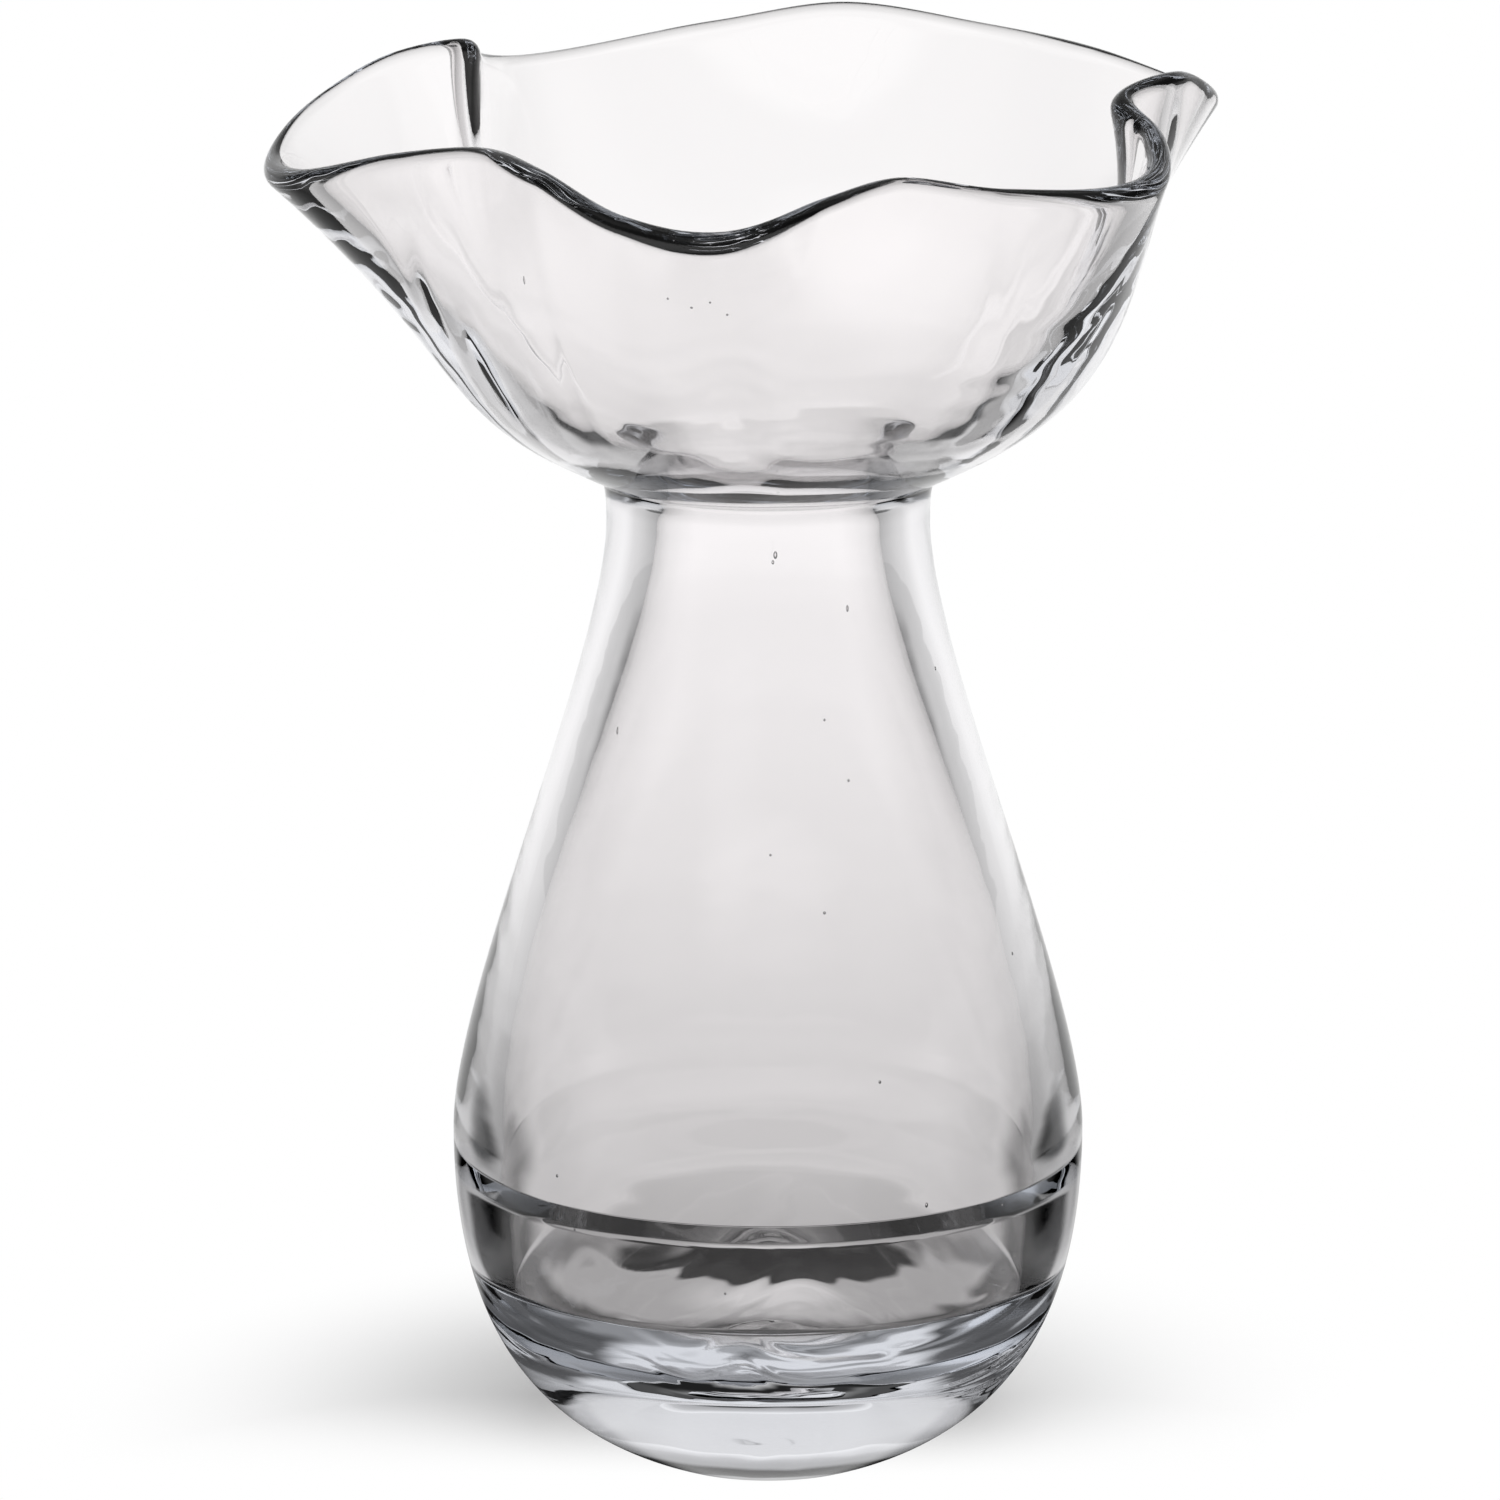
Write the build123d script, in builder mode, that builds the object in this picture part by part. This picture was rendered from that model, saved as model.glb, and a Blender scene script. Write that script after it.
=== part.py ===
from build123d import *
import math
import os

# A hyacinth forcing vase in clear mouth-blown glass. A thick round base stands on a small flat
# foot, a pear-shaped chamber above it holds the water, and a cup with a ruffled lip above the
# neck holds the bulb. The glass is modelled in the three masses it is worked in, which meet
# face to face on flat rings. Millimetres, +Z up. The origin is the middle of the foot, on the
# surface the vase stands on. Azimuth 0 is +X, and the front of the vase looks along -Y.

# Outside of the body. A pull is the length of a curve's handle, so a longer pull holds the
# direction of that end for longer.
foot_radius = 13.0
foot_angle = 20.0
foot_pull = 15.7
belly_radius = 35.0
belly_height = 37.5
belly_pull_down = 20.8
belly_pull_up = 15.0
waist_radius = 17.5
waist_height = 106.5
waist_pull = 15.0
crease_radius = 18.2
crease_rise = 3.5
crease_pull = 1.2
crease_angle = 60.0

# Inside of the body. A narrow ledge runs round the wall a little below the belly, where the glass
# of the base was gathered. The wall under it leans in and turns into a bowl, and the middle of the
# floor is pushed up into a low dome. A lean is measured from upright.
belly_wall = 5.2
throat_wall = 5.5
base_thickness = 14.0
upright_wall = 3.5
ledge_width = 0.8
ledge_drop = 3.0
ledge_top_lean = 24.0
ledge_foot_lean = 6.0
lower_wall_width = 1.2
lower_wall_top_lean = 5.0
lower_wall_foot_lean = 10.0
bowl_rise = 8.5
bowl_lean = 32.0
bowl_pull_down = 6.0
bowl_pull_in = 10.0
dome_radius = 10.5
dome_rise = 2.5
chamber_pull_up = 20.8
chamber_pull_down = 14.0

# Ruffled cup. Its lip is a round edge that swings out and dips at five lobes and comes in and
# rises at five folds, none of them alike. Each row is the azimuth of a point of the lip, the
# radius of the middle of the edge there and its height above the crease.
lip_points = [
    (6.0, 45.0, 44.0),     # start of the lobe at the right, towards the back
    (19.0, 51.0, 40.0),    # its tip
    (38.0, 46.0, 42.5),    # its far side
    (58.0, 45.5, 43.5),    # flat stretch at the back
    (78.0, 42.0, 45.5),    # wide fold at the back
    (98.0, 43.5, 43.0),    # start of the lobe at the back left
    (128.0, 47.5, 40.0),   # its tip
    (138.0, 44.0, 42.0),   # its steep side
    (146.0, 40.5, 44.5),   # tight fold at the back left
    (156.0, 45.5, 43.5),   # start of the long lobe at the left
    (167.0, 51.0, 39.5),   # its back corner
    (179.0, 53.5, 36.0),   # its tip
    (192.0, 52.0, 36.0),   # its front corner
    (207.0, 45.0, 39.5),   # its front side
    (223.0, 41.5, 41.5),   # fold at the front left
    (238.0, 45.5, 41.0),   # start of the deep lobe at the front
    (252.0, 49.0, 37.5),   # its left side
    (265.0, 52.5, 37.0),   # its tip
    (277.0, 45.0, 39.0),   # its steep right side
    (290.0, 40.0, 40.0),   # fold at the front right
    (305.0, 44.0, 38.5),   # start of the lobe at the right, towards the front
    (332.0, 47.0, 38.5),   # its tip
    (342.0, 43.5, 41.0),   # its steep side
    (351.0, 39.0, 43.0),   # tight fold at the right
]
lip_edge_radius = 1.5
lip_pull = 29.5
even_lip_radius = 45.0
even_lip_angle = 78.0
lip_angle_per_mm = 3.4
bowl_wall = 4.4
bowl_angle = 26.0
bowl_pull = 14.7
throat_lip_pull = 2.1

# How closely the rings of the cup follow one another
steps_per_span = 3
wall_steps = 7
edge_steps = 4
throat_steps = 3

# Sizes that follow from the ones above
crease_height = waist_height + crease_rise
cavity_radius = belly_radius - belly_wall
throat_radius = waist_radius - throat_wall
ledge_height = belly_height - upright_wall
lower_wall_pull = (ledge_height - ledge_drop - base_thickness - bowl_rise) / 3
ledge_pull = ledge_drop / 3
dome_pull = dome_radius / 2


def away(start, angle, distance):
    """The point at a distance from start, at an angle above level."""
    turn = math.radians(angle)
    return (start[0] + distance * math.cos(turn), start[1] + distance * math.sin(turn))


# Section points of the body, as (radius, height)
foot_edge = (foot_radius, 0)
belly = (belly_radius, belly_height)
waist = (waist_radius, waist_height)
crease = (crease_radius, crease_height)
cavity_belly = (cavity_radius, belly_height)
ledge_top = (cavity_radius, ledge_height)
ledge_foot = (cavity_radius - ledge_width, ledge_height - ledge_drop)
bowl_edge = (ledge_foot[0] - lower_wall_width, base_thickness + bowl_rise)
floor_ring = (dome_radius, base_thickness)
dome_top = (0, base_thickness + dome_rise)
throat = (throat_radius, waist_height)
throat_top = (throat_radius, crease_height)

os.makedirs("parts", exist_ok=True)

# Heavy base, up to the widest part of the body: the thick round bottom with its flat polished
# foot, the ledge and the bowl of the water space, and the domed floor
with BuildPart() as heavy_base:
    with BuildSketch(Plane.XZ):
        with BuildLine():
            Line((0, 0), foot_edge)
            Bezier(
                foot_edge,
                away(foot_edge, foot_angle, foot_pull),
                away(belly, -90, belly_pull_down),
                belly,
            )
            Line(belly, cavity_belly)
            Line(cavity_belly, ledge_top)
            Bezier(
                ledge_top,
                away(ledge_top, -90 - ledge_top_lean, ledge_pull),
                away(ledge_foot, 90 - ledge_foot_lean, ledge_pull),
                ledge_foot,
            )
            Bezier(
                ledge_foot,
                away(ledge_foot, -90 - lower_wall_top_lean, lower_wall_pull),
                away(bowl_edge, 90 - lower_wall_foot_lean, lower_wall_pull),
                bowl_edge,
            )
            Bezier(
                bowl_edge,
                away(bowl_edge, -90 - bowl_lean, bowl_pull_down),
                away(floor_ring, 0, bowl_pull_in),
                floor_ring,
            )
            Bezier(
                floor_ring,
                away(floor_ring, 180, dome_pull),
                away(dome_top, 0, dome_pull),
                dome_top,
            )
            Line(dome_top, (0, 0))
        make_face()
    revolve(axis=Axis.Z)

# Water chamber: the pear-shaped wall from the belly up through the waist to the crease that is
# pinched in where the neck ends
with BuildPart() as water_chamber:
    with BuildSketch(Plane.XZ):
        with BuildLine():
            Bezier(belly, away(belly, 90, belly_pull_up), away(waist, -90, waist_pull), waist)
            Bezier(
                waist,
                away(waist, 90, crease_pull),
                away(crease, 180 + crease_angle, crease_pull),
                crease,
            )
            Line(crease, throat_top)
            Line(throat_top, throat)
            Bezier(
                throat,
                away(throat, -90, chamber_pull_down),
                away(cavity_belly, 90, chamber_pull_up),
                cavity_belly,
            )
            Line(cavity_belly, belly)
        make_face()
    revolve(axis=Axis.Z)


def lip_slope(index, axis):
    """Change of radius or height for each degree at a point of the lip, from both its neighbours."""
    before, here, after = (lip_points[(index + step) % len(lip_points)] for step in (-1, 0, 1))
    gap_before = (here[0] - before[0]) % 360
    gap_after = (after[0] - here[0]) % 360
    slope_before = (here[axis] - before[axis]) / gap_before
    slope_after = (after[axis] - here[axis]) / gap_after
    return (slope_before * gap_after + slope_after * gap_before) / (gap_before + gap_after)


def lip_stations():
    """Azimuth, radius and height round the lip, on a smooth line through its points."""
    stations = []
    for index, start in enumerate(lip_points):
        following = (index + 1) % len(lip_points)
        end = lip_points[following]
        span = (end[0] - start[0]) % 360
        for step in range(steps_per_span):
            share = step / steps_per_span
            back = 1 - share
            radius, rise = (
                back**2 * (1 + 2 * share) * start[axis]
                + share**2 * (1 + 2 * back) * end[axis]
                + share * back * span * (back * lip_slope(index, axis) - share * lip_slope(following, axis))
                for axis in (1, 2)
            )
            stations.append((start[0] + span * share, radius, crease_height + rise))
    return stations


def wall_point(radius, height, rise, depth):
    """Point of the cup's section, as (radius, height): rise runs from 0 at the crease to 1 at
    the lip, and depth is measured inwards from the outside of the wall."""
    lip_angle = even_lip_angle - lip_angle_per_mm * (radius - even_lip_radius)
    lip_outside = away((radius, height), lip_angle - 90, lip_edge_radius)
    handles = (
        crease,
        away(crease, bowl_angle, bowl_pull),
        away(lip_outside, lip_angle, -lip_pull),
        lip_outside,
    )
    back = 1 - rise
    shares = (back**3, 3 * back**2 * rise, 3 * back * rise**2, rise**3)
    slopes = (-back**2, back**2 - 2 * back * rise, 2 * back * rise - rise**2, rise**2)
    point = [sum(share * handle[axis] for share, handle in zip(shares, handles)) for axis in (0, 1)]
    slope = [sum(share * handle[axis] for share, handle in zip(slopes, handles)) for axis in (0, 1)]
    return away(point, math.degrees(math.atan2(slope[1], slope[0])) + 90, depth)


def inside_point(radius, height, rise):
    """Point of the inner wall, which thins evenly from the bowl to the lip."""
    depth = bowl_wall + (2 * lip_edge_radius - bowl_wall) * rise
    return wall_point(radius, height, rise, depth)


def edge_point(radius, height, share):
    """Point of the rounded lip, from its outside over the top to its inside."""
    lip_angle = even_lip_angle - lip_angle_per_mm * (radius - even_lip_radius)
    return away((radius, height), lip_angle - 90 + 180 * share, lip_edge_radius)


def throat_point(share):
    """Point of the rounded shoulder from the bowl's inside down to the top of the throat."""
    shoulder = away(crease, bowl_angle + 90, bowl_wall)
    handles = (
        shoulder,
        away(shoulder, bowl_angle + 180, throat_lip_pull),
        away(throat_top, 90, throat_lip_pull),
        throat_top,
    )
    back = 1 - share
    shares = (back**3, 3 * back**2 * share, 3 * back * share**2, share**3)
    return [sum(part * handle[axis] for part, handle in zip(shares, handles)) for axis in (0, 1)]


# Bulb cup: rings run up the outside of the wall, over the rounded lip, down the inside and over
# the shoulder into the throat, and one smooth surface is lofted through them
stations = lip_stations()
ring_parameters = [(azimuth - stations[0][0]) / 360 for azimuth, _, _ in stations] + [1]


def ring(section):
    """Closed ring through the point that section gives at each station of the lip."""
    points = []
    for azimuth, radius, height in stations:
        reach, level = section(radius, height)
        turn = math.radians(azimuth)
        points.append((reach * math.cos(turn), reach * math.sin(turn), level))
    return Wire([Edge.make_spline(points, periodic=True, parameters=ring_parameters)])


outside_rings = [
    ring(lambda radius, height: wall_point(radius, height, step / wall_steps, 0))
    for step in range(wall_steps + 1)
]
edge_rings = [
    ring(lambda radius, height: edge_point(radius, height, step / edge_steps))
    for step in range(1, edge_steps)
]
inside_rings = [
    ring(lambda radius, height: inside_point(radius, height, step / wall_steps))
    for step in range(wall_steps, -1, -1)
]
throat_rings = [
    ring(lambda radius, height: throat_point(step / throat_steps))
    for step in range(1, throat_steps + 1)
]
cup_rings = outside_rings + edge_rings + inside_rings + throat_rings
cup_skin = Shell.make_loft(cup_rings)
cup_seat = Face(cup_rings[0], [cup_rings[-1]])

with BuildPart() as bulb_cup:
    add(Solid(Shell(cup_skin.faces() + [cup_seat])))

heavy_base.part.label = "heavy_base"
water_chamber.part.label = "water_chamber"
bulb_cup.part.label = "bulb_cup"

export_step(heavy_base.part, "parts/heavy_base.step")
export_step(water_chamber.part, "parts/water_chamber.step")
export_step(bulb_cup.part, "parts/bulb_cup.step")
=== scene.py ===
import math

import bmesh
import bpy
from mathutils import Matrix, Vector, noise


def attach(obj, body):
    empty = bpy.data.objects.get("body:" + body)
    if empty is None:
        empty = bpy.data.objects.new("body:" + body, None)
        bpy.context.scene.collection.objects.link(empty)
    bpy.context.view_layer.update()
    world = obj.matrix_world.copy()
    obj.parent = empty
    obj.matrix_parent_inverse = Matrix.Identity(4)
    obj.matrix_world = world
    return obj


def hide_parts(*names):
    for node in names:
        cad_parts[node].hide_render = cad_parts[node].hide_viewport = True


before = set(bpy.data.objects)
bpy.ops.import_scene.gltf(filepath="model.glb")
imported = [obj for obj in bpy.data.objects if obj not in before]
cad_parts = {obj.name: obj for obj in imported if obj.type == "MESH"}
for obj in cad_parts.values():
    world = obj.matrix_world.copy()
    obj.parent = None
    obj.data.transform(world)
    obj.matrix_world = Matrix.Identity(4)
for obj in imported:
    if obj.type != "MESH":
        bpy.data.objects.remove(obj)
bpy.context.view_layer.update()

# Vase
# The whole vase is one gather of clear glass, blown over a thick round base and turned on the
# iron. The neck was pinched in with the jacks, and the hot lip was pulled into five lobes.
# Sizes are in millimetres and are turned into metres when the mesh is made.

# Outside of the body: the flat polished foot, the belly, the waist and the crease under the cup
foot_radius = 13.0
foot_angle = 20.0
foot_pull = 15.7
belly_radius = 35.0
belly_height = 37.5
belly_pull_down = 20.8
belly_pull_up = 15.0
waist_radius = 17.8
waist_height = 106.5
waist_pull = 15.0
crease_radius = 18.4
crease_height = 111.2
crease_angle = 60.0
crease_pull = 1.2


def away(start, angle, distance):
    """Point at a distance from start, at an angle above level."""
    turn = math.radians(angle)
    return (start[0] + distance * math.cos(turn), start[1] + distance * math.sin(turn))


def sweep(handles, steps):
    """Points along the curve that four handles give."""
    points = []
    for step in range(steps + 1):
        share = step / steps
        back = 1 - share
        weights = (back**3, 3 * back**2 * share, 3 * back * share**2, share**3)
        points.append(tuple(
            sum(weight * handle[axis] for weight, handle in zip(weights, handles)) for axis in (0, 1)
        ))
    return points


foot_edge = (foot_radius, 0)
belly = (belly_radius, belly_height)
waist = (waist_radius, waist_height)
crease = (crease_radius, crease_height)
foot_flat = [(share * foot_radius, 0) for share in (0, 0.55, 0.97, 0.99)]
lower_outside = sweep([
    foot_edge, away(foot_edge, foot_angle, foot_pull), away(belly, -90, belly_pull_down), belly,
], 48)
upper_outside = sweep([
    belly, away(belly, 90, belly_pull_up), away(waist, -90, waist_pull), waist,
], 60)[1:]
neck_outside = sweep([
    waist, away(waist, 90, crease_pull), away(crease, 180 + crease_angle, crease_pull), crease,
], 8)[1:]

# Inside of the body: the throat is a short funnel over the chamber, which widens down to a ledge.
# A lower wall, a bowl and a low dome in the middle of the floor follow below the ledge.
throat_radius = 12.2
throat_top_radius = 13.0
funnel_angle = 65.0
funnel_pull_up = 2.0
funnel_pull_down = 2.0
chamber_pull_down = 14.0
chamber_pull_up = 20.8
cavity_radius = 29.8
ledge_height = 34.6
ledge_width = 0.75
ledge_drop = 2.3
ledge_round = 0.1
ledge_back_spread = 4.0
ledge_back_round = 0.15
ledge_back_thinning = 0.8
lower_wall_width = 1.0
lower_wall_top_lean = 4.5
lower_wall_foot_lean = 8.0
bowl_rise = 8.5
bowl_lean = 32.0
bowl_pull_down = 6.0
bowl_pull_in = 8.0
base_thickness = 14.0
dome_radius = 13.0
dome_rise = 2.5
dome_pull = dome_radius / 2

throat_top = (throat_top_radius, crease_height)
throat = (throat_radius, waist_height)
cavity_belly = (cavity_radius, belly_height)
bowl_edge = (cavity_radius - ledge_width - lower_wall_width, base_thickness + bowl_rise)
dome_edge = (dome_radius, base_thickness)
dome_top = (0, base_thickness + dome_rise)
throat_inside = sweep([
    throat_top, away(throat_top, 180 + funnel_angle, funnel_pull_up),
    away(throat, 90, funnel_pull_down), throat,
], 12)[1:]
chamber_inside = sweep([
    throat, away(throat, -90, chamber_pull_down),
    away(cavity_belly, 90, chamber_pull_up), cavity_belly,
], 60)[1:]
bowl_inside = sweep([
    bowl_edge, away(bowl_edge, -90 - bowl_lean, bowl_pull_down),
    away(dome_edge, 0, bowl_pull_in), dome_edge,
], 40)[1:]
dome_inside = sweep([
    dome_edge, away(dome_edge, 180, dome_pull), away(dome_top, 0, dome_pull), dome_top,
], 20)[1:]


def inner_wall_section(azimuth):
    """Section of the ledge and the lower wall at an azimuth: crisp at the front, soft at the back."""
    softness = (0.5 + 0.5 * math.sin(math.radians(azimuth))) ** 2
    spread = ledge_back_spread * softness
    top, drop = ledge_height + spread / 2, ledge_drop + spread
    width = ledge_width * (1 - ledge_back_thinning * softness)
    points = [(cavity_radius, top + ledge_round + ledge_back_round * spread)]
    for share in (0, 0.04, 0.2, 0.4, 0.6, 0.8, 1):
        points.append((cavity_radius - width * share, top - drop * share))
    ledge_foot = points[-1]
    pull = (ledge_foot[1] - bowl_edge[1]) / 3
    return points + sweep([
        ledge_foot, away(ledge_foot, -90 - lower_wall_top_lean, pull),
        away(bowl_edge, 90 - lower_wall_foot_lean, pull), bowl_edge,
    ], 20)[1:]


# Cup: a round bowl whose lip was pulled out into lobes and let in as folds between them. The
# ruffle dies out down the wall, sooner under the folds than under the lobes.
cup_angle = 26.0
cup_pull = 14.0
cup_wall = 3.6
cup_side_swell = 1.5
cup_swell_rise = 1.4
cup_steps = 112
shoulder_share = 0.14
shoulder_pull = 3.5
lip_edge_radius = 1.47
lip_pull = 29.5
even_lip_radius = 45.0
even_lip_angle = 78.0
even_lip_rise = 44.0
lobe_angle_per_mm = 4.0
fold_angle_per_mm = 2.6
lobe_fade = 0.45
fold_fade = 2.6
fade_swing = 3.0
# Azimuth, radius and height above the waist of points along the middle of the lip's edge
lip_points = [
    (6.0, 45.0, 47.5),     # start of the lobe at the right, towards the back
    (19.0, 51.0, 43.5),    # its tip
    (38.0, 46.0, 46.0),    # its far side
    (58.0, 45.5, 47.0),    # flat stretch at the back
    (78.0, 42.0, 49.0),    # wide fold at the back
    (98.0, 43.5, 46.5),    # start of the lobe at the back left
    (128.0, 47.5, 43.5),   # its tip
    (138.0, 44.0, 45.5),   # its steep side
    (146.0, 40.5, 48.0),   # tight fold at the back left
    (156.0, 45.5, 47.0),   # start of the long lobe at the left
    (167.0, 51.0, 43.0),   # its back corner
    (179.0, 53.5, 39.5),   # its tip
    (192.0, 52.0, 39.5),   # its front corner
    (207.0, 45.0, 43.0),   # its front side
    (223.0, 41.5, 45.0),   # fold at the front left
    (238.0, 45.5, 44.5),   # start of the deep lobe at the front
    (252.0, 49.0, 41.0),   # its left side
    (265.0, 52.5, 40.5),   # its tip
    (277.0, 45.0, 42.5),   # its steep right side
    (290.0, 40.0, 43.5),   # fold at the front right
    (305.0, 44.0, 42.0),   # start of the lobe at the right, towards the front
    (332.0, 47.0, 42.0),   # its tip
    (342.0, 43.5, 44.5),   # its steep side
    (351.0, 39.0, 46.5),   # tight fold at the right
]
# The jacks left fine ridges in the outside under the deep lobe at the front
ridge_depth = 0.10
ridge_spacing = 1.5
ridge_reach = 7.0
ridge_middle = 258.0
ridge_spread = 26.0


def lip_slope(index, axis):
    """Change of radius or height for each degree at a point of the lip, from both its neighbours."""
    count = len(lip_points)
    before, here, after = (lip_points[(index + step) % count] for step in (-1, 0, 1))
    gap_before = (here[0] - before[0]) % 360
    gap_after = (after[0] - here[0]) % 360
    rise_before = (here[axis] - before[axis]) / gap_before
    rise_after = (after[axis] - here[axis]) / gap_after
    return (rise_before * gap_after + rise_after * gap_before) / (gap_before + gap_after)


def lip_at(azimuth):
    """Radius and height of the lip at an azimuth, on a smooth line through its points."""
    count = len(lip_points)
    for index, start in enumerate(lip_points):
        end = lip_points[(index + 1) % count]
        span = (end[0] - start[0]) % 360
        share = (azimuth - start[0]) % 360 / span
        if share < 1:
            break
    back = 1 - share
    radius, rise = (
        back**2 * (1 + 2 * share) * start[axis]
        + share**2 * (1 + 2 * back) * end[axis]
        + share * back * span * (
            back * lip_slope(index, axis) - share * lip_slope((index + 1) % count, axis)
        )
        for axis in (1, 2)
    )
    return radius, waist_height + rise


def cup_section(azimuth):
    """Section of the cup at an azimuth: up the outside, over the lip and down into the throat."""
    lip = lip_at(azimuth)
    swing = lip[0] - even_lip_radius
    lip_angle = even_lip_angle - swing * (lobe_angle_per_mm if swing > 0 else fold_angle_per_mm)
    lip_outside = away(lip, lip_angle - 90, lip_edge_radius)
    even_lip = (even_lip_radius, waist_height + even_lip_rise)
    even_outside = away(even_lip, even_lip_angle - 90, lip_edge_radius)
    flare = away(crease, cup_angle, cup_pull)
    ruffled = sweep([
        crease, flare, away(lip_outside, lip_angle, -lip_pull), lip_outside,
    ], cup_steps)
    round_bowl = sweep([
        crease, flare, away(even_outside, even_lip_angle, -lip_pull), even_outside,
    ], cup_steps)
    lobe_share = min(max((swing + fade_swing) / (2 * fade_swing), 0), 1)
    fade = fold_fade + (lobe_fade - fold_fade) * lobe_share
    outside = []
    for index, (plain, pulled) in enumerate(zip(round_bowl, ruffled)):
        share = (index / cup_steps) ** fade
        outside.append(tuple(
            plain[axis] + (pulled[axis] - plain[axis]) * share for axis in (0, 1)
        ))
    edge = [
        away(lip, lip_angle - 90 + 15 * step, lip_edge_radius) for step in range(1, 12)
    ]
    inside = []
    tooled = []
    from_lip = 0
    ridged = ridge_depth * max(0, 1 - ((azimuth - ridge_middle) / ridge_spread) ** 2)
    side_on = math.cos(math.radians(azimuth)) ** 4
    for index in range(cup_steps, 0, -1):
        before = outside[index - 1]
        after = outside[min(index + 1, cup_steps)]
        slope = math.degrees(math.atan2(after[1] - before[1], after[0] - before[0]))
        share = index / cup_steps
        wall = cup_wall + (2 * lip_edge_radius - cup_wall) * share
        wall += cup_side_swell * side_on * math.sin(math.pi * share**cup_swell_rise) ** 2
        if share >= shoulder_share:
            inside.append(away(outside[index], slope + 90, wall))
            inner_slope = slope
        ridge = ridged * math.sin(math.pi * min(from_lip / ridge_reach, 1))
        ridge *= math.sin(2 * math.pi * from_lip / ridge_spacing)
        tooled.insert(0, away(outside[index], slope - 90, ridge))
        from_lip += math.dist(before, outside[index])
    shoulder = sweep([
        inside[-1], away(inside[-1], inner_slope + 180, shoulder_pull),
        away(throat_top, funnel_angle, shoulder_pull), throat_top,
    ], 16)
    return tooled, edge, inside, shoulder[1:]


# Turning on the iron left faint rings in both skins of the glass, which are drawn as low waves
# that run long round the vase and short up it
body_wave = 0.012
cup_outside_wave = 0.01
cup_inside_wave, cup_inside_spacing, cup_inside_run = 0.03, 2.4, 60
chamber_wave = 0.02
bowl_wave, bowl_spacing, bowl_run = 0.16, 1.8, 40
dome_wave = 0.02


def waved(points, depth, spacing=3.5, run=20):
    """Give section points the depth, spacing and run of waves that die out over each end quarter."""
    count = len(points)
    return [
        (point, depth * min(1, 4 * index / count, 4 * (count - index) / count), spacing, run)
        for index, point in enumerate(points)
    ]


# The twist of the last of the gather stands as a low S-shaped ridge in the middle of the floor
swirl_length = 6.5
swirl_swing = 2.4
swirl_width = 1.1
swirl_rise = 0.14


def swirl_height(across, along):
    """Height of the S-shaped ridge at a place on the floor."""
    end = max(0, 1 - (across / swirl_length) ** 2)
    off = (along - swirl_swing * math.sin(math.pi * across / swirl_length)) / swirl_width
    return swirl_rise * end * math.exp(-off**2)


# One closed skin runs from the foot up the outside, over the lip and down to the domed floor
columns_round = 288
vase_mesh = bmesh.new()
skin = []
for column in range(columns_round):
    azimuth = 360 * column / columns_round
    turn = math.radians(azimuth)
    cup_outside, cup_edge, cup_inside, cup_shoulder = cup_section(azimuth)
    section = (
        waved(foot_flat, 0)
        + waved(lower_outside + upper_outside, body_wave)
        + waved(neck_outside, 0)
        + waved(cup_outside, cup_outside_wave)
        + waved(cup_edge, 0)
        + waved(cup_inside, cup_inside_wave, cup_inside_spacing, cup_inside_run)
        + waved(cup_shoulder + throat_inside, 0)
        + waved(chamber_inside, chamber_wave)
        + waved(inner_wall_section(azimuth), 0)
        + waved(bowl_inside, bowl_wave, bowl_spacing, bowl_run)
        + waved(dome_inside, dome_wave)
    )
    strip = []
    length = 0
    for index, ((radius, height), depth, spacing, run) in enumerate(section):
        before = section[max(index - 1, 0)][0]
        after = section[min(index + 1, len(section) - 1)][0]
        slope = math.degrees(math.atan2(after[1] - before[1], after[0] - before[0]))
        length += math.dist(before, (radius, height))
        spot = Vector((
            radius * math.cos(turn) / run, radius * math.sin(turn) / run, length / spacing,
        ))
        reach, level = away((radius, height), slope + 90, depth * noise.noise(spot))
        if radius < dome_radius and height > base_thickness:
            level += swirl_height(reach * math.cos(turn), reach * math.sin(turn))
        if radius == 0:
            reach, level = 0, height + swirl_height(0, 0)
        strip.append(vase_mesh.verts.new(
            Vector((reach * math.cos(turn), reach * math.sin(turn), level)) / 1000
        ))
    skin.append(strip)
for strip, next_strip in zip(skin, skin[1:] + skin[:1]):
    for row in range(len(strip) - 1):
        vase_mesh.faces.new((strip[row], next_strip[row], next_strip[row + 1], strip[row + 1]))
bmesh.ops.remove_doubles(vase_mesh, verts=vase_mesh.verts, dist=1e-7)
bmesh.ops.recalc_face_normals(vase_mesh, faces=vase_mesh.faces)

# Seeds are air bubbles left in the melt, just under the outside and drawn out by the blowing:
# azimuth, height, width and length
seed_depth = 1.0
seeds = [
    (272.5, 106.1, 0.45, 0.9), (271.6, 105.3, 0.3, 0.5), (298.5, 99.8, 0.3, 0.8),
    (335.5, 91.3, 0.3, 0.5), (287.0, 88.3, 0.25, 0.3), (220.5, 85.7, 0.25, 0.9),
    (292.5, 81.8, 0.25, 0.35), (270.5, 74.4, 0.25, 0.3), (283.0, 68.3, 0.3, 0.35),
    (334.5, 60.2, 0.3, 0.4), (292.0, 50.3, 0.3, 0.4), (228.0, 38.6, 0.3, 0.4),
    (232.0, 33.0, 0.25, 0.3), (300.0, 36.5, 0.35, 0.6), (318.0, 34.6, 0.3, 0.4),
    (262.0, 27.6, 0.25, 0.3), (257.0, 140.3, 0.25, 0.3), (260.0, 139.4, 0.3, 0.3),
    (262.5, 140.2, 0.25, 0.3), (264.5, 138.6, 0.25, 0.3), (232.5, 139.8, 0.25, 1.0),
]
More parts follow.
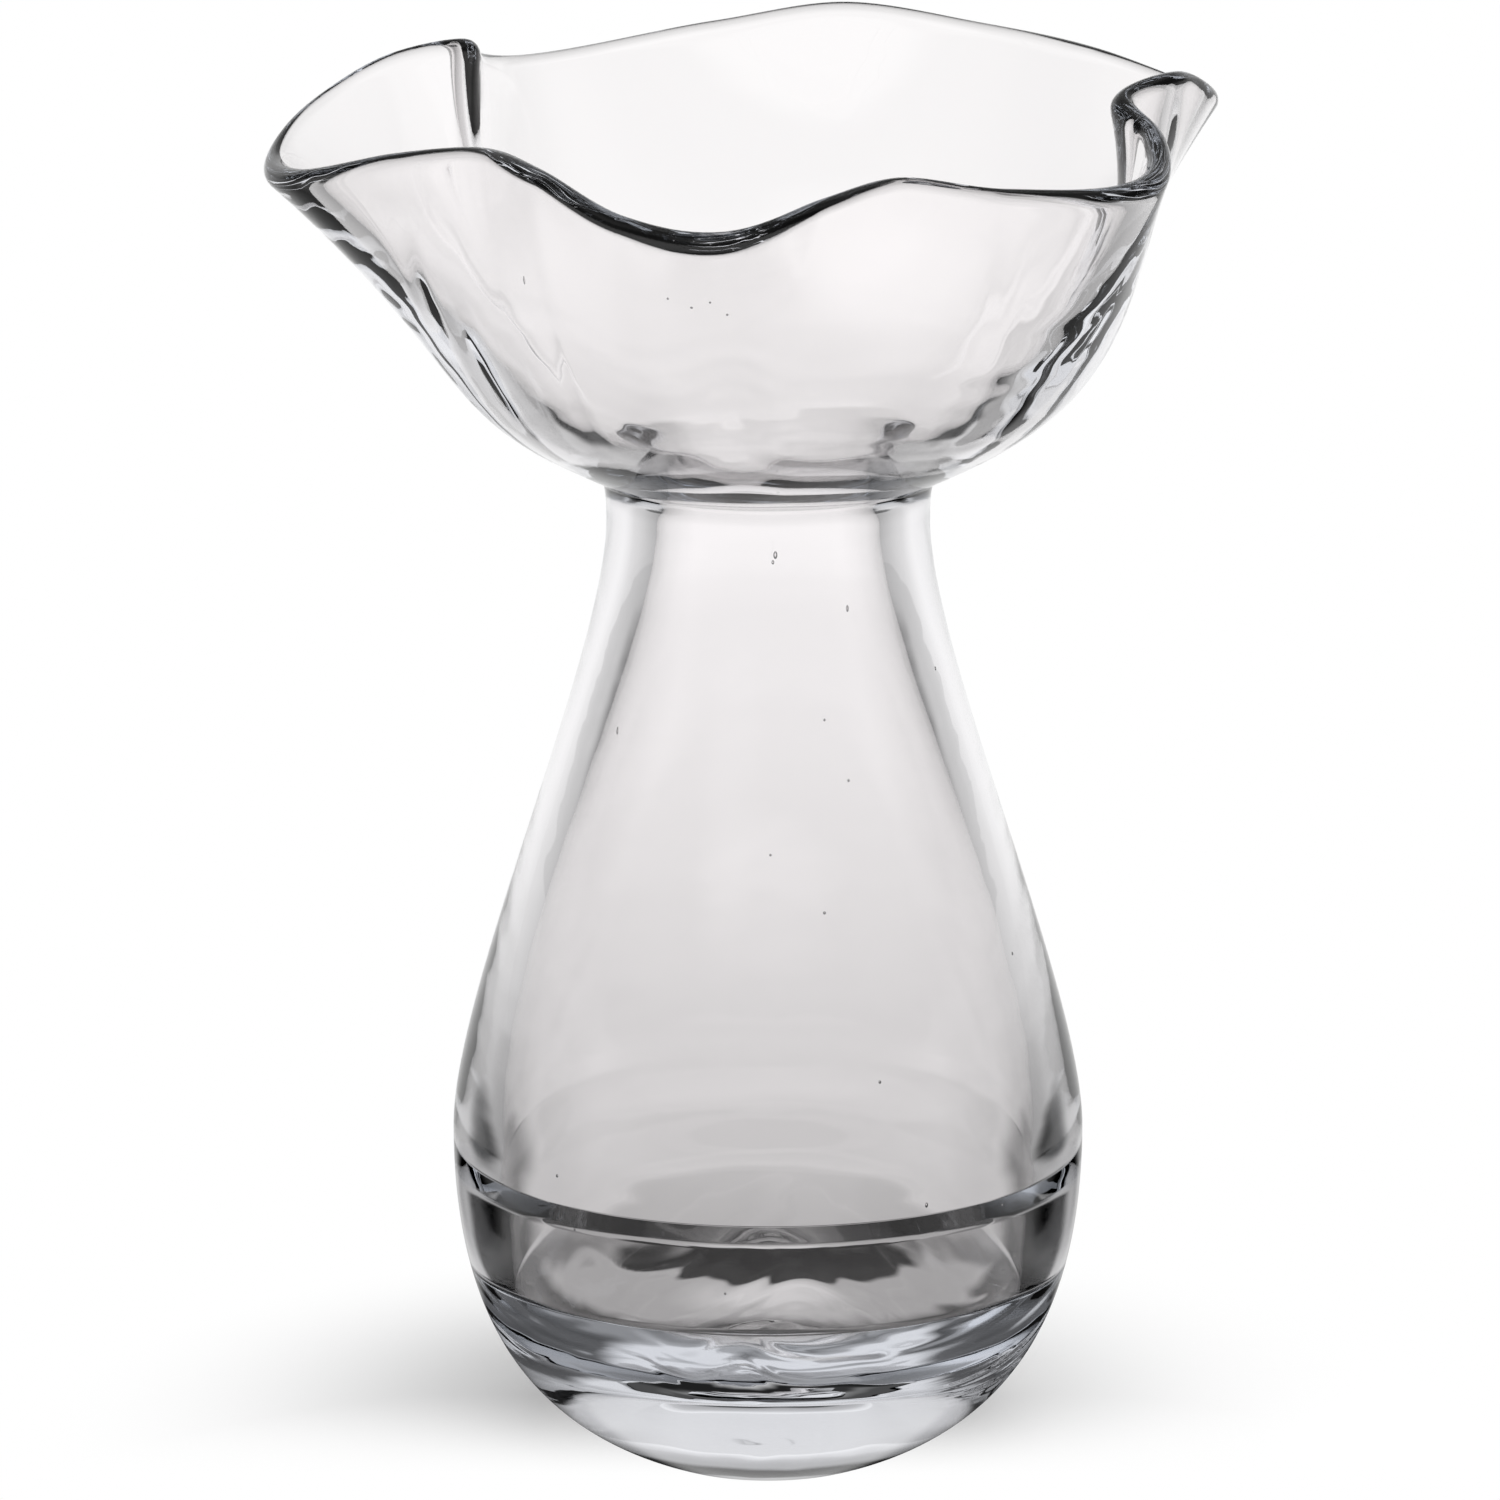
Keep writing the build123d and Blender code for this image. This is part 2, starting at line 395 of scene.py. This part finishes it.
for azimuth, height, width, length in seeds:
    outside = lower_outside + upper_outside + neck_outside + cup_section(azimuth)[0]
    radius = min(outside, key=lambda point: abs(point[1] - height))[0] - seed_depth
    turn = math.radians(azimuth)
    bubble = bmesh.ops.create_icosphere(vase_mesh, subdivisions=2, radius=0.5)["verts"]
    for vert in bubble:
        vert.co = Vector((
            radius * math.cos(turn) + vert.co.x * width,
            radius * math.sin(turn) + vert.co.y * width,
            height + vert.co.z * length,
        )) / 1000
    for face in {face for vert in bubble for face in vert.link_faces}:
        face.normal_flip()
for face in vase_mesh.faces:
    face.smooth = True
vase_data = bpy.data.meshes.new("vase_glass")
vase_mesh.to_mesh(vase_data)
vase_mesh.free()
vase_glass = bpy.data.objects.new("vase_glass", vase_data)
bpy.context.collection.objects.link(vase_glass)


def linear(colour):
    """Linear colour from an sRGB hex value."""
    parts = [int(colour[index:index + 2], 16) / 255 for index in (1, 3, 5)]
    return [
        part / 12.92 if part <= 0.04045 else ((part + 0.055) / 1.055) ** 2.4 for part in parts
    ] + [1]


def add_node(tree, kind, settings, inputs, stops=()):
    """Add a node with its settings and grey stops, and fill its sockets with values or links."""
    node = tree.nodes.new(kind)
    for index, (position, strength) in enumerate(stops):
        ramp = node.color_ramp.elements
        stop = ramp[index] if index < 2 else ramp.new(position)
        stop.position, stop.color = position, (strength, strength, strength, 1)
    for name, value in settings.items():
        setattr(node, name, value)
    for name, value in inputs.items():
        if isinstance(value, bpy.types.NodeSocket):
            tree.links.new(value, node.inputs[name])
        else:
            node.inputs[name].default_value = value
    return node


# Clear soda-lime glass, mouth-blown and fire-polished: it is smooth and nearly colourless, a
# little warm where it is thin and cool where it is thick, and the skin bends what is behind it
# a little unevenly
streak_spacing = 11.0
streak_flatness = 2.5
streak_depth = 0.02
blown_glass = bpy.data.materials.new("clear_soda_lime_blown_fire_polished")
blown_glass.use_nodes = True
tree = blown_glass.node_tree
tree.nodes.clear()
place = add_node(tree, "ShaderNodeTexCoord", {}, {})
flattened = add_node(tree, "ShaderNodeMapping", {}, {
    "Vector": place.outputs["Object"], "Scale": (1, 1, streak_flatness),
})
streaks = add_node(tree, "ShaderNodeTexNoise", {}, {
    "Vector": flattened.outputs["Vector"], "Scale": 1000 / streak_spacing, "Detail": 1.0,
})
uneven = add_node(tree, "ShaderNodeBump", {}, {
    "Height": streaks.outputs["Fac"], "Strength": 1.0, "Distance": streak_depth / 1000,
})
clear = add_node(tree, "ShaderNodeBsdfPrincipled", {}, {
    "Base Color": linear("#fffdfd"), "Roughness": 0.0, "IOR": 1.52, "Transmission Weight": 1.0,
    "Normal": uneven.outputs["Normal"],
})
cast = add_node(tree, "ShaderNodeVolumeAbsorption", {}, {
    "Color": linear("#cfe1f9"), "Density": 4.0,
})
add_node(tree, "ShaderNodeOutputMaterial", {}, {
    "Surface": clear.outputs["BSDF"], "Volume": cast.outputs["Volume"],
})
vase_data.materials.append(blown_glass)
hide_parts("heavy_base", "water_chamber", "bulb_cup")
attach(vase_glass, "root")

# Floor
# A plain pale sheet of matt paper that the vase stands on. It keeps the vase's own shadow near
# the foot, and farther off the camera sees it as clean white. The glass shows a painted picture
# of light and shade on it instead. Sizes are in metres.
sheet_half = 4.0
floor_mesh = bmesh.new()
floor_mesh.faces.new([
    floor_mesh.verts.new((x * sheet_half, y * sheet_half, 0))
    for x, y in ((-1, -1), (1, -1), (1, 1), (-1, 1))
])
floor_data = bpy.data.meshes.new("paper_floor")
floor_mesh.to_mesh(floor_data)
floor_mesh.free()
paper_floor = bpy.data.objects.new("paper_floor", floor_data)
bpy.context.collection.objects.link(paper_floor)

# White paper, matt: it scatters light evenly. For the camera its shadow fades to clean white
# farther out and in front of the foot.
shadow_start, shadow_end, shadow_least_fade = 0.042, 0.085, 0.1
front_fade_start, front_fade_end = 0.028, -0.012
matt_paper = bpy.data.materials.new("white_paper_matt_painted_shade")
matt_paper.use_nodes = True
tree = matt_paper.node_tree
tree.nodes.clear()
smooth = {"interpolation_type": "SMOOTHSTEP"}
path = add_node(tree, "ShaderNodeLightPath", {}, {})
place = add_node(tree, "ShaderNodeTexCoord", {}, {})
spot = place.outputs["Object"]
axes = add_node(tree, "ShaderNodeSeparateXYZ", {}, {"Vector": spot})
distance = add_node(tree, "ShaderNodeVectorMath", {"operation": "LENGTH"}, {0: spot})
clean_round = add_node(tree, "ShaderNodeMapRange", smooth, {
    "Value": distance.outputs["Value"], "From Min": shadow_start, "From Max": shadow_end,
    "To Min": shadow_least_fade,
})
clean_front = add_node(tree, "ShaderNodeMapRange", smooth, {
    "Value": axes.outputs["Y"], "From Min": front_fade_start, "From Max": front_fade_end,
})
clean = add_node(tree, "ShaderNodeMath", {"operation": "MAXIMUM"}, {
    0: clean_round.outputs["Result"], 1: clean_front.outputs["Result"],
})
paper = add_node(tree, "ShaderNodeBsdfDiffuse", {}, {"Color": linear("#f4f4f4")})
white = add_node(tree, "ShaderNodeEmission", {}, {"Color": linear("#ffffff"), "Strength": 1.0})
faded = add_node(tree, "ShaderNodeMixShader", {}, {
    "Fac": clean.outputs["Value"], 1: paper.outputs["BSDF"], 2: white.outputs["Emission"],
})

# What the glass shows of the sheet is painted light and shade, first by heading: painted light
# straight behind the vase, at the sides and far in front, dimmer between, and painted shade near
# the vase at the front
heading_start, heading_end = 0.05, 0.20
near_front_start, near_front_end, near_front_light = -0.35, 0.15, 0.2
far_front_start, far_front_end = 0.10, 0.26
heading = add_node(tree, "ShaderNodeVectorMath", {"operation": "NORMALIZE"}, {0: spot})
turned = add_node(tree, "ShaderNodeSeparateXYZ", {}, {"Vector": heading.outputs["Vector"]})
by_heading = add_node(tree, "ShaderNodeValToRGB", {}, {"Fac": turned.outputs["Y"]}, [
    (0.0, 0.92), (0.12, 0.85), (0.30, 0.38), (0.62, 0.58), (0.85, 0.78), (0.97, 1.0),
])
far_enough = add_node(tree, "ShaderNodeMapRange", smooth, {
    "Value": distance.outputs["Value"], "From Min": heading_start, "From Max": heading_end,
})
far_light = add_node(tree, "ShaderNodeMix", {"data_type": "FLOAT"}, {
    "Factor": far_enough.outputs["Result"], "A": 1.0, "B": by_heading.outputs["Color"],
})
near_front = add_node(tree, "ShaderNodeMapRange", smooth, {
    "Value": turned.outputs["Y"], "From Min": near_front_start, "From Max": near_front_end,
    "To Min": near_front_light,
})
far_front = add_node(tree, "ShaderNodeMapRange", smooth, {
    "Value": distance.outputs["Value"], "From Min": far_front_start, "From Max": far_front_end,
})
front_light = add_node(tree, "ShaderNodeMix", {"data_type": "FLOAT"}, {
    "Factor": far_front.outputs["Result"], "A": near_front.outputs["Result"], "B": 1.0,
})

# Then by distance: a painted shadow, dark under the round of the base, and lighter farther out.
# A ramp has few steps near its start, so the distance is stretched before it is looked up.
ramp_stretch = (1.5, 2, 2)
stretched = add_node(tree, "ShaderNodeVectorMath", {"operation": "MULTIPLY"}, {
    0: spot, 1: ramp_stretch,
})
ramp_distance = add_node(tree, "ShaderNodeVectorMath", {"operation": "LENGTH"}, {
    0: stretched.outputs["Vector"],
})
outward = add_node(tree, "ShaderNodeValToRGB", {}, {"Fac": ramp_distance.outputs["Value"]}, [
    (0.008, 0.35), (0.014, 0.08), (0.036, 0.07), (0.044, 0.02), (0.104, 0.02), (0.116, 0.30),
    (0.128, 0.48), (0.16, 0.52), (0.20, 0.58), (0.26, 0.64), (0.32, 0.76), (0.40, 0.83),
    (0.60, 0.91), (1.0, 1.0),
])


def oval_reach(place, middle, half_width, half_depth):
    """How far a place lies from the middle of an oval on the sheet, where 1 is the oval's edge."""
    offset = add_node(tree, "ShaderNodeVectorMath", {"operation": "SUBTRACT"}, {
        0: place, 1: middle,
    })
    shares = add_node(tree, "ShaderNodeVectorMath", {"operation": "MULTIPLY"}, {
        0: offset.outputs["Vector"], 1: (1 / half_width, 1 / half_depth, 0),
    })
    reach = add_node(tree, "ShaderNodeVectorMath", {"operation": "LENGTH"}, {
        0: shares.outputs["Vector"],
    })
    return reach.outputs["Value"]


# A painted shadow of the base darkens an oval of the sheet on each side, towards the back
side_middle, side_half_width, side_half_depth = (0.094, 0.068, 0), 0.036, 0.048
aside = add_node(tree, "ShaderNodeMath", {"operation": "ABSOLUTE"}, {0: axes.outputs["X"]})
mirrored = add_node(tree, "ShaderNodeCombineXYZ", {}, {
    "X": aside.outputs["Value"], "Y": axes.outputs["Y"],
})
side_light = add_node(tree, "ShaderNodeMapRange", smooth, {
    "Value": oval_reach(mirrored.outputs["Vector"], side_middle, side_half_width, side_half_depth),
    "From Min": 0.70, "From Max": 1.25,
})

# Painted light that stands for what the thick base gathers on the sheet: a crescent with a brighter
# core behind the foot, cut by a painted dark hump, and a bright edge in front of the foot
crescent_bend = 14.0
crescent_start, crescent_end, crescent_light = 0.021, 0.028, 0.40
crescent_fade_start, crescent_fade_end = 0.052, 0.060
core_middle, core_half_width, core_half_depth, core_light = (0, 0.035, 0), 0.014, 0.007, 0.28
hump_middle, hump_half_width, hump_half_depth = (0, 0.050, 0), 0.0215, 0.010
edge_start, edge_end, edge_light = -0.009, -0.014, 0.55
edge_fade_start, edge_fade_end = 0.035, 0.024
squared = add_node(tree, "ShaderNodeMath", {"operation": "MULTIPLY"}, {
    0: axes.outputs["X"], 1: axes.outputs["X"],
})
arched = add_node(tree, "ShaderNodeMath", {"operation": "MULTIPLY_ADD"}, {
    0: squared.outputs["Value"], 1: -crescent_bend, 2: axes.outputs["Y"],
})
crescent = add_node(tree, "ShaderNodeMapRange", smooth, {
    "Value": arched.outputs["Value"], "From Min": crescent_start, "From Max": crescent_end,
})
crescent_fade = add_node(tree, "ShaderNodeMapRange", smooth, {
    "Value": distance.outputs["Value"], "From Min": crescent_fade_start,
    "From Max": crescent_fade_end, "To Min": crescent_light, "To Max": 0.0,
})
core = add_node(tree, "ShaderNodeMapRange", smooth, {
    "Value": oval_reach(spot, core_middle, core_half_width, core_half_depth),
    "From Min": 1.0, "From Max": 0.2, "To Max": core_light,
})
hump = add_node(tree, "ShaderNodeMapRange", smooth, {
    "Value": oval_reach(spot, hump_middle, hump_half_width, hump_half_depth),
    "From Min": 0.92, "From Max": 1.08,
})
crescent_lit = add_node(tree, "ShaderNodeMath", {"operation": "MULTIPLY_ADD"}, {
    0: crescent.outputs["Result"], 1: crescent_fade.outputs["Result"], 2: core.outputs["Result"],
})
behind_foot = add_node(tree, "ShaderNodeMath", {"operation": "MULTIPLY"}, {
    0: crescent_lit.outputs["Value"], 1: hump.outputs["Result"],
})
edge = add_node(tree, "ShaderNodeMapRange", smooth, {
    "Value": axes.outputs["Y"], "From Min": edge_start, "From Max": edge_end, "To Max": edge_light,
})
edge_fade = add_node(tree, "ShaderNodeMapRange", smooth, {
    "Value": distance.outputs["Value"], "From Min": edge_fade_start, "From Max": edge_fade_end,
})
before_foot = add_node(tree, "ShaderNodeMath", {"operation": "MULTIPLY"}, {
    0: edge.outputs["Result"], 1: edge_fade.outputs["Result"],
})
painted_gathered_light = add_node(tree, "ShaderNodeMath", {"operation": "ADD"}, {
    0: behind_foot.outputs["Value"], 1: before_foot.outputs["Value"],
})

# All of the painted light and shade together, for the rays that the glass bends or mirrors
side_lit = add_node(tree, "ShaderNodeMath", {"operation": "MULTIPLY"}, {
    0: far_light.outputs["Result"], 1: side_light.outputs["Result"],
})
front_lit = add_node(tree, "ShaderNodeMath", {"operation": "MULTIPLY"}, {
    0: side_lit.outputs["Value"], 1: front_light.outputs["Result"],
})
painted_sheet_light = add_node(tree, "ShaderNodeMath", {"operation": "MULTIPLY_ADD"}, {
    0: front_lit.outputs["Value"], 1: outward.outputs["Color"], 2: painted_gathered_light.outputs["Value"],
})
painted_sheet = add_node(tree, "ShaderNodeEmission", {}, {
    "Color": linear("#ffffff"), "Strength": painted_sheet_light.outputs["Value"],
})
by_glass = add_node(tree, "ShaderNodeMath", {"operation": "MAXIMUM"}, {
    0: path.outputs["Is Glossy Ray"], 1: path.outputs["Is Transmission Ray"],
})
plain = add_node(tree, "ShaderNodeMixShader", {}, {
    "Fac": path.outputs["Is Camera Ray"], 1: paper.outputs["BSDF"], 2: faded.outputs["Shader"],
})
sheet = add_node(tree, "ShaderNodeMixShader", {}, {
    "Fac": by_glass.outputs["Value"], 1: plain.outputs["Shader"], 2: painted_sheet.outputs["Emission"],
})
add_node(tree, "ShaderNodeOutputMaterial", {}, {"Surface": sheet.outputs["Shader"]})
floor_data.materials.append(matt_paper)

# Studio room
# A white backdrop stands behind the vase and the walls are pale low down all round. Higher up
# the walls are dark, so that the edges of the glass show as dark lines, with one window high in
# front at the left. The camera itself sees plain white.
ambient_light = 0.62
front_wall_light = 0.12
window_swing, window_tilt, window_light = math.radians(-155), math.radians(42), 0.35
room = bpy.data.worlds.new("studio_room")
bpy.context.scene.world = room
room.use_nodes = True
tree = room.node_tree
tree.nodes.clear()
path = add_node(tree, "ShaderNodeLightPath", {}, {})
place = add_node(tree, "ShaderNodeTexCoord", {}, {})
aim = add_node(tree, "ShaderNodeSeparateXYZ", {}, {"Vector": place.outputs["Generated"]})
level = add_node(tree, "ShaderNodeVectorMath", {"operation": "MULTIPLY"}, {
    0: place.outputs["Generated"], 1: (1, 1, 0),
})
heading = add_node(tree, "ShaderNodeVectorMath", {"operation": "NORMALIZE"}, {
    0: level.outputs["Vector"],
})
turned = add_node(tree, "ShaderNodeSeparateXYZ", {}, {"Vector": heading.outputs["Vector"]})
behind = add_node(tree, "ShaderNodeMapRange", smooth, {
    "Value": turned.outputs["Y"], "From Min": 0.60, "From Max": 0.76,
})
backdrop = add_node(tree, "ShaderNodeValToRGB", {}, {"Fac": aim.outputs["Z"]}, [
    (0.0, 0.82), (0.34, 0.80), (0.44, 0.45), (0.57, 0.35), (0.68, 0.20), (0.78, 0.45),
    (0.84, 0.45), (0.92, 0.19), (1.0, 0.17),
])
side_wall = add_node(tree, "ShaderNodeValToRGB", {}, {"Fac": aim.outputs["Z"]}, [
    (0.0, 0.30), (0.15, 0.12), (0.35, 0.08), (0.50, 0.12), (0.60, 0.30), (0.75, 0.30),
    (0.90, 0.20), (1.0, 0.17),
])
front_wall = add_node(tree, "ShaderNodeMapRange", smooth, {
    "Value": turned.outputs["Y"], "From Min": 0.0, "From Max": -0.6, "To Max": front_wall_light,
})
walls = add_node(tree, "ShaderNodeMath", {"operation": "ADD"}, {
    0: side_wall.outputs["Color"], 1: front_wall.outputs["Result"],
})
upper = add_node(tree, "ShaderNodeMix", {"data_type": "FLOAT"}, {
    "Factor": behind.outputs["Result"], "A": walls.outputs["Value"],
    "B": backdrop.outputs["Color"],
})
lower = add_node(tree, "ShaderNodeValToRGB", {}, {"Fac": turned.outputs["Y"]}, [
    (0.0, 0.80), (0.12, 0.75), (0.30, 0.35), (0.62, 0.50), (0.85, 0.65), (0.97, 0.82),
])
raised = add_node(tree, "ShaderNodeMapRange", smooth, {
    "Value": aim.outputs["Z"], "From Min": 0.03, "From Max": 0.15,
})
wall = add_node(tree, "ShaderNodeMix", {"data_type": "FLOAT"}, {
    "Factor": raised.outputs["Result"], "A": lower.outputs["Color"], "B": upper.outputs["Result"],
})
window_aim = (
    math.sin(window_swing) * math.cos(window_tilt),
    math.cos(window_swing) * math.cos(window_tilt),
    math.sin(window_tilt),
)
toward_window = add_node(tree, "ShaderNodeVectorMath", {"operation": "DOT_PRODUCT"}, {
    0: place.outputs["Generated"], 1: window_aim,
})
window = add_node(tree, "ShaderNodeMapRange", smooth, {
    "Value": toward_window.outputs["Value"], "From Min": 0.90, "From Max": 0.96,
    "To Max": window_light,
})
seen = add_node(tree, "ShaderNodeMath", {"operation": "ADD"}, {
    0: wall.outputs["Result"], 1: window.outputs["Result"],
})
by_glass = add_node(tree, "ShaderNodeMath", {"operation": "MAXIMUM"}, {
    0: path.outputs["Is Glossy Ray"], 1: path.outputs["Is Transmission Ray"],
})
room_light = add_node(tree, "ShaderNodeMix", {"data_type": "FLOAT"}, {
    "Factor": by_glass.outputs["Value"], "A": ambient_light, "B": seen.outputs["Value"],
})
strength = add_node(tree, "ShaderNodeMix", {"data_type": "FLOAT"}, {
    "Factor": path.outputs["Is Camera Ray"], "A": room_light.outputs["Result"], "B": 1.0,
})
glow = add_node(tree, "ShaderNodeBackground", {}, {
    "Color": linear("#ffffff"), "Strength": strength.outputs["Result"],
})
add_node(tree, "ShaderNodeOutputWorld", {}, {"Surface": glow.outputs["Background"]})

# Softbox
# One large round lamp stands high in front and a little to the right, so that the shadow is soft
# and falls behind the foot and to the left. The glass doesn't mirror it.
softbox_size = 1.2
softbox_power = 14.0
softbox_data = bpy.data.lights.new("softbox", "AREA")
softbox_data.shape = "DISK"
softbox_data.size = softbox_size
softbox_data.energy = softbox_power
softbox = bpy.data.objects.new("softbox", softbox_data)
softbox.location = (0.15, -0.50, 1.2)
softbox.rotation_euler = (-softbox.location).to_track_quat("-Z", "Y").to_euler()
softbox.visible_glossy = False
softbox.visible_transmission = False
bpy.context.collection.objects.link(softbox)

# Camera
# A long lens stands a little above the lip and looks down on the vase by about thirteen degrees.
# Its focal length is given in pixels of the 1500-pixel frame.
camera_aside, camera_back, camera_height, aim_height = -0.002, 1.200, 0.367, 0.08028
focal_pixels, frame_pixels, sensor_width = 11170, 1500, 36.0
camera_data = bpy.data.cameras.new("camera")
camera_data.sensor_width = sensor_width
camera_data.lens = focal_pixels / frame_pixels * sensor_width
camera_data.clip_end = 50.0
camera = bpy.data.objects.new("camera", camera_data)
camera.location = (camera_aside, -camera_back, camera_height)
camera_dip = math.atan2(camera_height - aim_height, camera_back)
camera.rotation_euler = (math.pi / 2 - camera_dip, 0, 0)
bpy.context.collection.objects.link(camera)
bpy.context.scene.camera = camera

# Light crosses both walls and the thick base many times before it leaves the glass
bpy.context.scene.view_settings.view_transform = "Standard"
bpy.context.scene.cycles.max_bounces = 24
bpy.context.scene.cycles.transmission_bounces = 24
bpy.context.scene.cycles.glossy_bounces = 12
